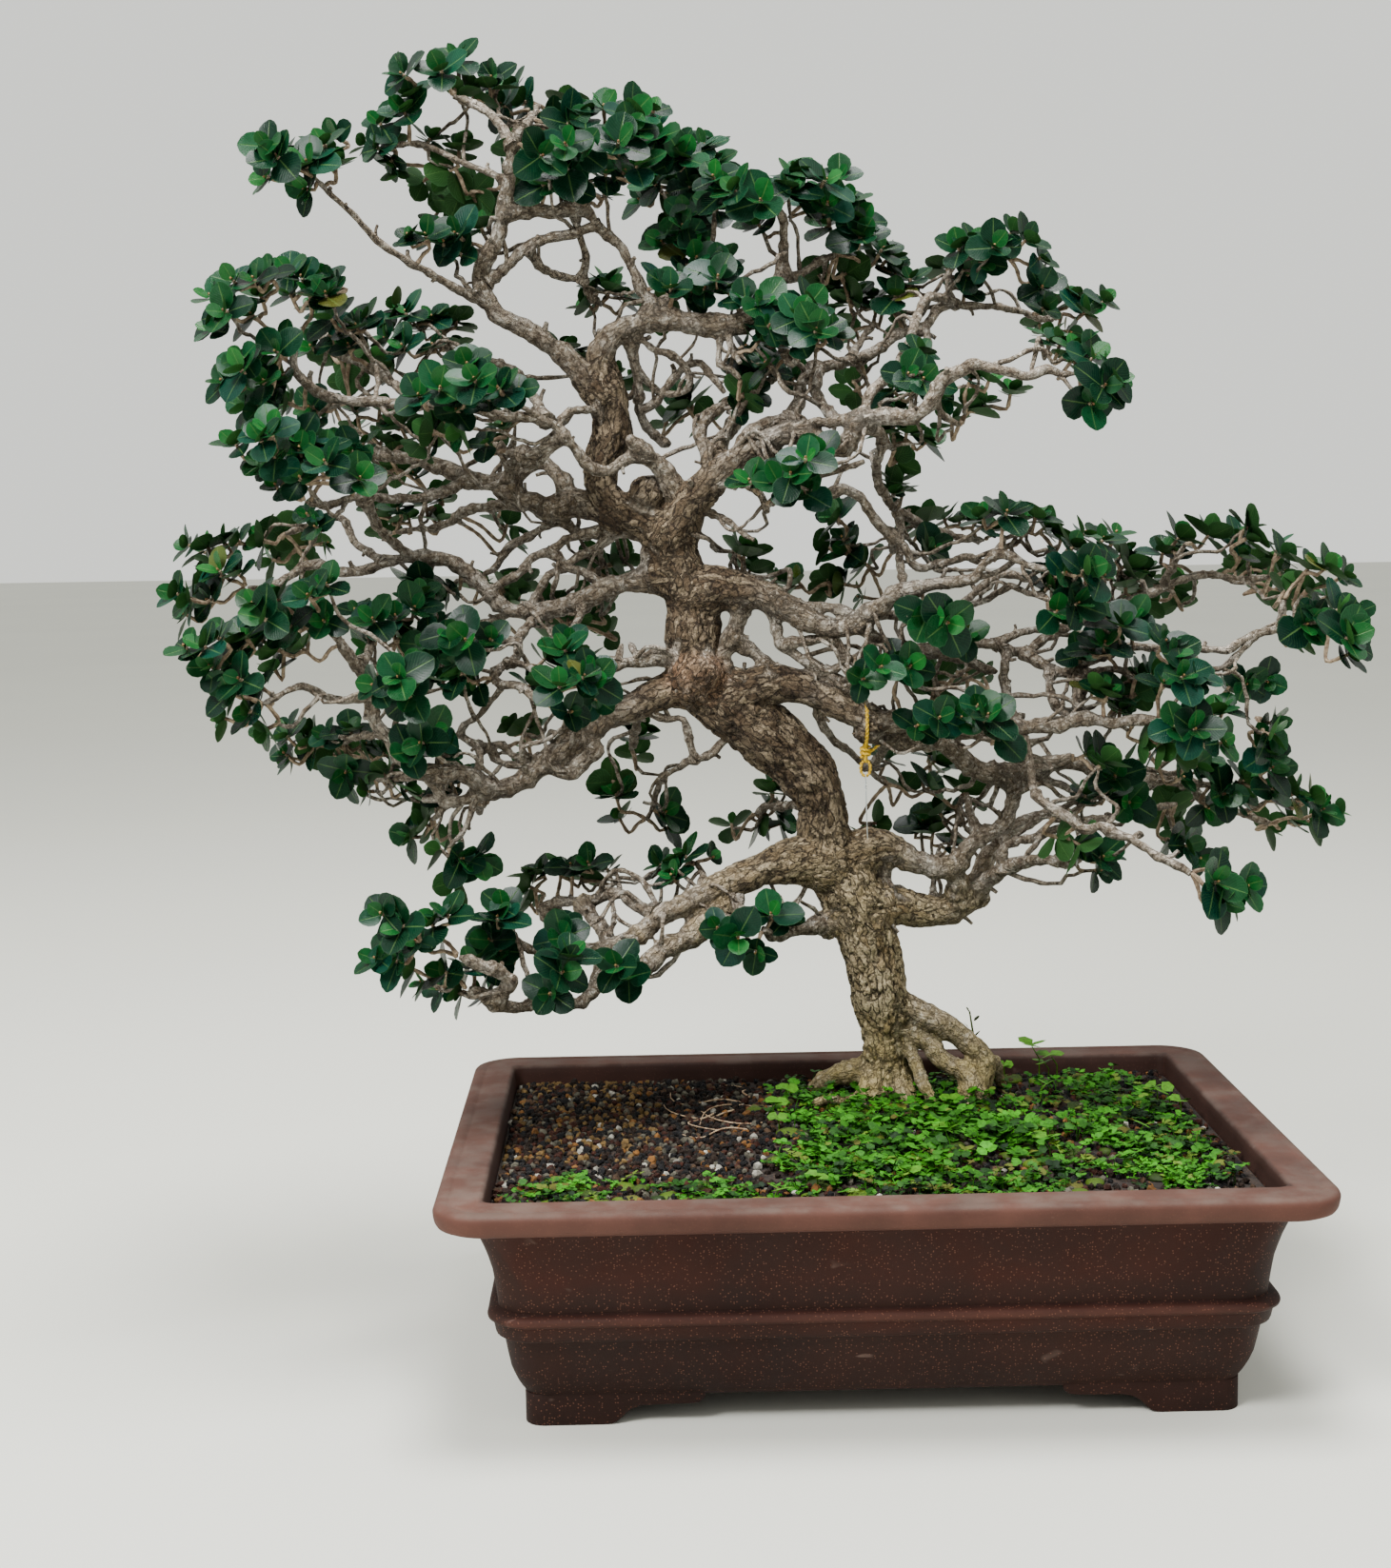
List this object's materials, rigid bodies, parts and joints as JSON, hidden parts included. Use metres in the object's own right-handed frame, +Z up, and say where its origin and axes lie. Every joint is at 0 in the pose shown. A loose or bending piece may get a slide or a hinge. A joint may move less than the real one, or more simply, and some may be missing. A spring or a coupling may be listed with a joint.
{
  "type": "bonsai tree in pot",
  "caption": "Small-leaved evergreen bonsai with a leaning rough trunk and tiered branches, rooted in an oblong unglazed clay pot with a rim, a belt and four corner feet.",
  "frame": {"origin": "Middle of the underside of the whole object's box, on the surface the pot's feet stand on.", "axes": "+Z is up. The long side of the pot runs along X and the front of the tree looks to -Y."},
  "size_m": [0.893, 0.4656, 0.9473],
  "materials": {
    "pot_clay": "unglazed purplish-brown clay, matt, with pale specks",
    "drain_mesh": "dark moulded mesh",
    "soil": "coarse bonsai gravel of black, dark red, ochre and pale grains",
    "ground_cover": "moss and small creeping weeds",
    "bark": "grey-brown cracked bark, matt",
    "tie_cord": "yellow braided cord",
    "guy_line": "thin whitish nylon line",
    "leaf": "thick dark green leaves with a soft sheen"
  },
  "bodies": {
    "root": {"pot": "pot_clay", "screen_left": "drain_mesh", "screen_right": "drain_mesh", "soil": "soil", "ground_cover_left": "ground_cover", "ground_cover_right": "ground_cover", "wood": "bark", "tie": "tie_cord", "guy_line": "guy_line", "leaves_crownA": "leaf", "leaves_crownC": "leaf", "leaves_crownD": "leaf", "leaves_crownF": "leaf", "leaves_crownI": "leaf", "leaves_crownK": "leaf", "leaves_crownM": "leaf", "leaves_crownO": "leaf", "leaves_crownQ": "leaf", "leaves_crownS": "leaf", "leaves_leftA": "leaf", "leaves_leftB": "leaf", "leaves_leftE": "leaf", "leaves_leftF": "leaf", "leaves_leftH": "leaf", "leaves_leftI": "leaf", "leaves_leftL": "leaf", "leaves_leftN": "leaf", "leaves_leftQ": "leaf", "leaves_leftT": "leaf", "leaves_leftU": "leaf", "leaves_leftW": "leaf", "leaves_leftY": "leaf", "leaves_hangB": "leaf", "leaves_lowA": "leaf", "leaves_lowB": "leaf", "leaves_lowE": "leaf", "leaves_lowG": "leaf", "leaves_lowH": "leaf", "leaves_rightA": "leaf", "leaves_rightD": "leaf", "leaves_rightG": "leaf", "leaves_rightI": "leaf", "leaves_rightJ": "leaf", "leaves_rightM": "leaf", "leaves_rightO": "leaf", "leaves_rightP": "leaf", "leaves_rightR": "leaf", "leaves_rightS": "leaf", "leaves_rightV": "leaf", "leaves_rightX": "leaf", "leaves_endB": "leaf", "leaves_endA": "leaf", "leaves_endF": "leaf", "leaves_endG": "leaf", "leaves_endH": "leaf", "leaves_endI": "leaf", "leaves_endJ": "leaf", "leaves_endK": "leaf"}
  },
  "joints": []
}
